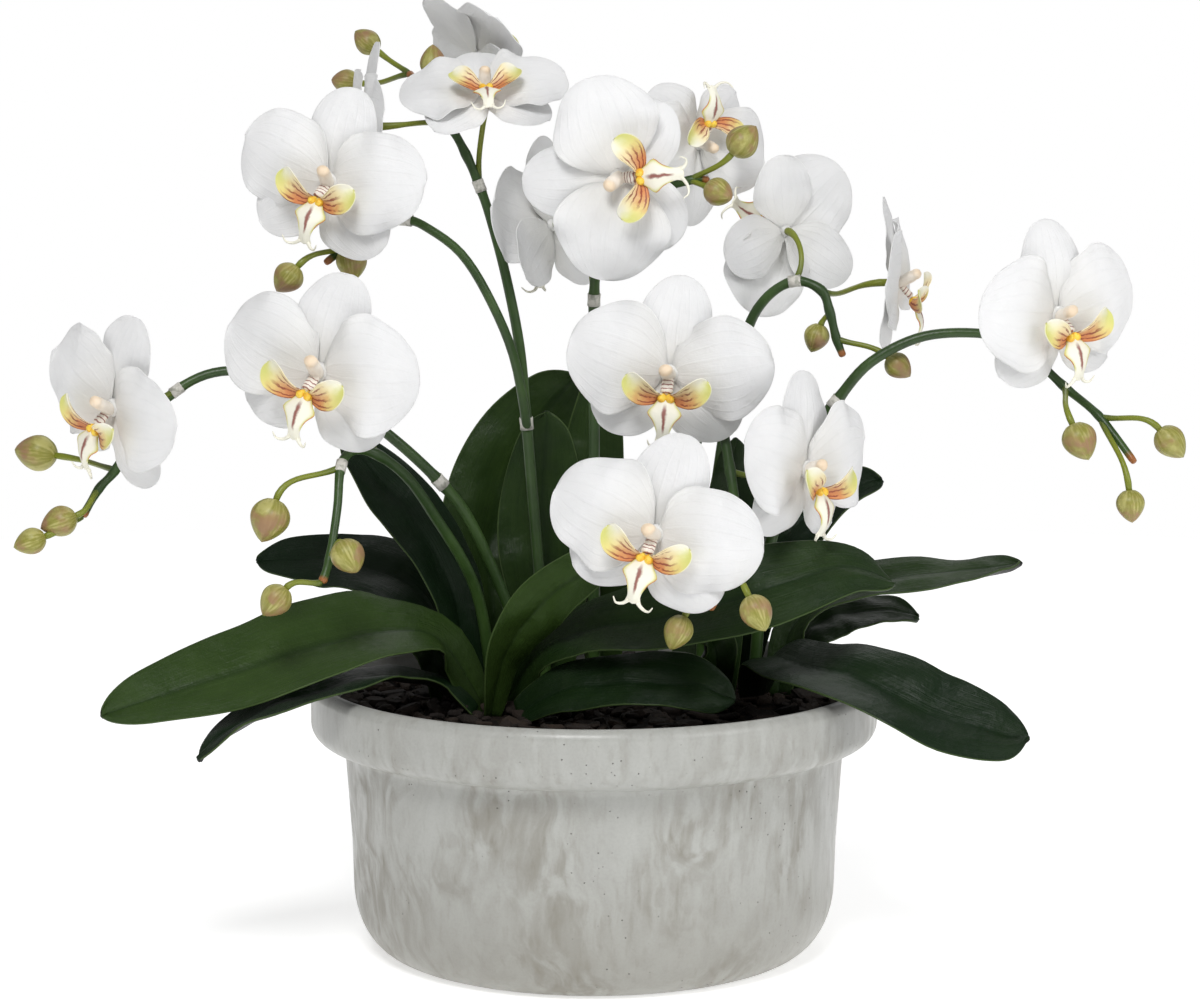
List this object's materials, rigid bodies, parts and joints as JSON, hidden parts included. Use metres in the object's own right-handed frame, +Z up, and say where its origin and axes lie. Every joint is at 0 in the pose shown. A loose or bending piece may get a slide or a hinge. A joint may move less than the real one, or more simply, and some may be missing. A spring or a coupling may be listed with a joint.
{
  "type": "potted orchid",
  "caption": "Moth orchid arrangement: arching spikes of white flowers and green buds over strap leaves, set in bark in a wide round cement-grey pot with a thick collar.",
  "frame": {"origin": "centre of the pot's flat underside", "axes": "+Z up along the pot's axis, the front of the arrangement faces -Y, +X to the right when seen from the front"},
  "size_m": [0.5298, 0.3043, 0.4345],
  "materials": {
    "pot_cement": "pale grey cement-like glaze with brownish vertical streaks and pinholes, soft sheen",
    "bark": "dark brown chipped bark, matt",
    "leaf": "deep green, waxy sheen, fine lengthwise grain and a paler edge",
    "stem": "dark green stems turning yellow-green at flower stalks and buds, soft sheen",
    "petal": "white, satin, faint veins",
    "lip": "ivory and yellow with red-brown markings, satin"
  },
  "bodies": {
    "root": {"flower_01_lip": "lip", "flower_01_petals": "petal", "flower_02_lip": "lip", "flower_02_petals": "petal", "flower_03_lip": "lip", "flower_03_petals": "petal", "flower_04_lip": "lip", "flower_04_petals": "petal", "flower_05_lip": "lip", "flower_05_petals": "petal", "flower_06_lip": "lip", "flower_06_petals": "petal", "flower_07_lip": "lip", "flower_07_petals": "petal", "flower_08_lip": "lip", "flower_08_petals": "petal", "flower_09_lip": "lip", "flower_09_petals": "petal", "flower_10_lip": "lip", "flower_10_petals": "petal", "flower_11_lip": "lip", "flower_11_petals": "petal", "flower_12_lip": "lip", "flower_12_petals": "petal", "flower_13_lip": "lip", "flower_13_petals": "petal", "flower_14_lip": "lip", "flower_14_petals": "petal", "flower_15_lip": "lip", "flower_15_petals": "petal", "leaf_back_broad": "leaf", "leaf_centre_back": "leaf", "leaf_centre_right": "leaf", "leaf_centre_strap": "leaf", "leaf_centre_upright": "leaf", "leaf_front_short": "leaf", "leaf_left_back": "leaf", "leaf_left_front": "leaf", "leaf_left_low": "leaf", "leaf_left_rising": "leaf", "leaf_left_small": "leaf", "leaf_rear_left": "leaf", "leaf_rear_right": "leaf", "leaf_right_back": "leaf", "leaf_right_far": "leaf", "leaf_right_front": "leaf", "leaf_right_small": "leaf", "leaf_right_under": "leaf", "leaf_right_upright": "leaf", "pot": "pot_cement", "potting_bark": "bark", "spike_centre": "stem", "spike_front": "stem", "spike_left_forked": "stem", "spike_left_front": "stem", "spike_left_long": "stem", "spike_right_long": "stem", "spike_right_short": "stem"}
  },
  "joints": []
}
